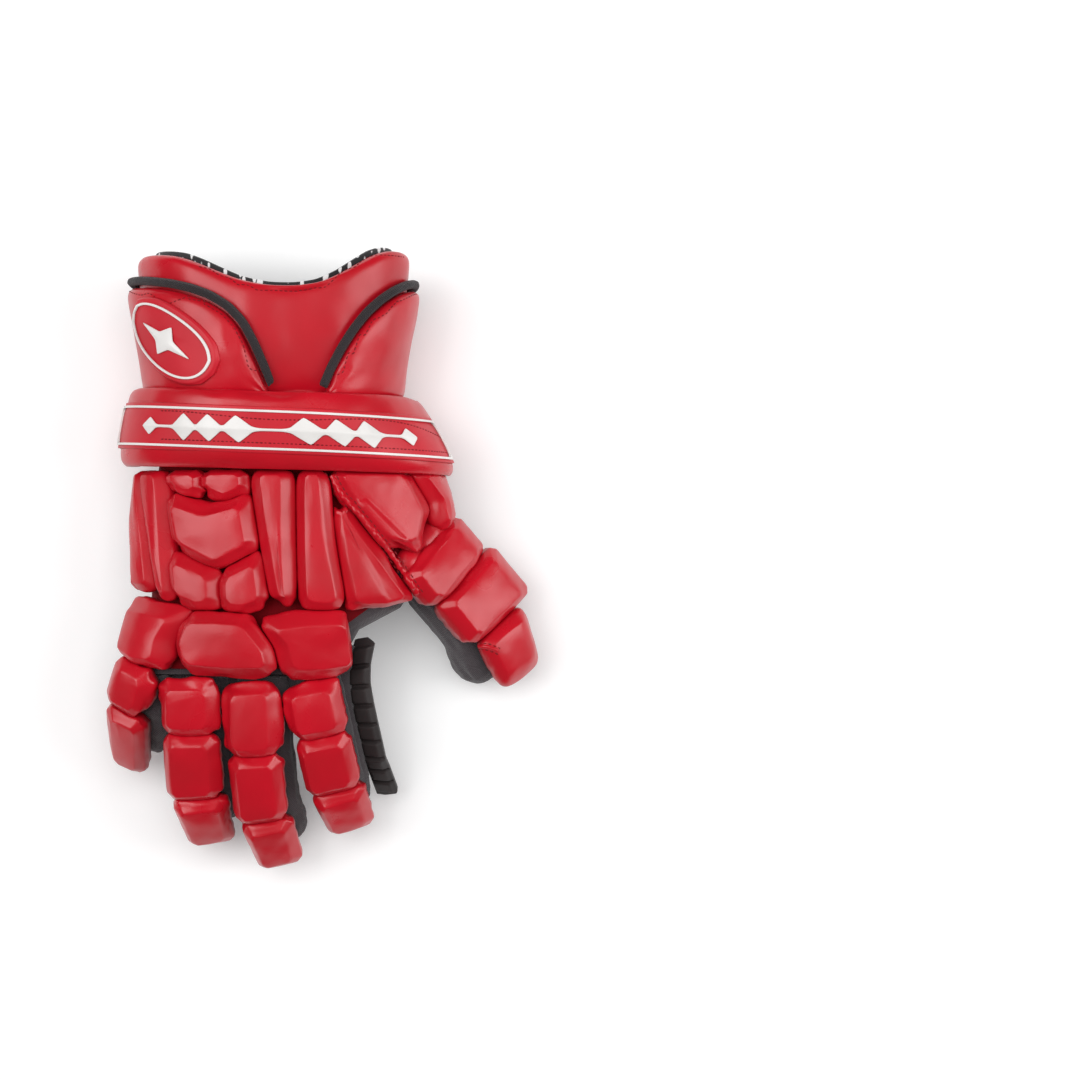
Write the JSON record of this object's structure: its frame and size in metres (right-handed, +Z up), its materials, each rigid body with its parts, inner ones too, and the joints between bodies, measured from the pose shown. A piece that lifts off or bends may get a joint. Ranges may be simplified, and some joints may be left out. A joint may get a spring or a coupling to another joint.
{
  "type": "lacrosse glove",
  "caption": "Right-hand lacrosse glove with padded leather blocks on the back, a flared cuff under a wrist roll, mesh finger stalls and a ribbed index guard, lying palm down.",
  "frame": {"origin": "middle of the bounding box's underside, on the surface that the glove lies on", "axes": "+X to the thumb's side, +Y out of the cuff's mouth and away from the fingertips, +Z up through the back of the hand"},
  "size_m": [0.2316, 0.332, 0.0976],
  "materials": {
    "red_leather": "smooth coated leather over foam, semi-gloss, fine grain",
    "mesh_fabric": "knitted mesh, matte",
    "lining_fabric": "smooth lining with a small white print",
    "black_rubber": "ribbed moulded rubber, satin",
    "red_rubber": "moulded rubber, fine ribbing, satin",
    "white_rubber": "moulded raised rubber, satin"
  },
  "bodies": {
    "root": {"top_block_outer": "red_leather", "top_block_inner": "red_leather", "chevron_pad": "red_leather", "lower_block_outer": "red_leather", "lower_block_inner": "red_leather", "back_rib_1": "red_leather", "back_rib_2": "red_leather", "web_pad": "red_leather", "thumb_base_pad": "red_leather", "knuckle_middle": "red_leather", "knuckle_inner": "red_leather", "outer_rib_1": "red_leather", "outer_rib_2": "red_leather", "outer_rib_3": "red_leather", "thumb_base_side": "red_leather", "knuckle_outer": "red_leather", "little_block_1": "red_leather", "little_block_2": "red_leather", "ring_block_1": "red_leather", "ring_block_2": "red_leather", "ring_block_3": "red_leather", "middle_block_1": "red_leather", "middle_block_2": "red_leather", "middle_block_3": "red_leather", "index_block_1": "red_leather", "index_block_2": "red_leather", "index_block_3": "red_leather", "thumb_block_1": "red_leather", "thumb_block_2": "red_leather", "thumb_tip_block": "red_leather", "cuff_back_panel": "red_leather", "cuff_flap_outer": "red_leather", "cuff_flap_inner": "red_leather", "wrist_roll": "red_leather", "back_cover": "red_leather", "back_shell": "mesh_fabric", "palm_shell": "mesh_fabric", "thumb_stall": "mesh_fabric", "little_stall": "mesh_fabric", "ring_stall": "mesh_fabric", "middle_stall": "mesh_fabric", "index_stall": "mesh_fabric", "piping_outer": "mesh_fabric", "piping_inner": "mesh_fabric", "cuff_lining": "lining_fabric", "index_guard": "black_rubber", "roll_plate": "red_rubber", "side_patch": "red_rubber", "plate_border": "white_rubber", "plate_motif": "white_rubber", "patch_border": "white_rubber", "patch_motif": "white_rubber"}
  },
  "joints": []
}
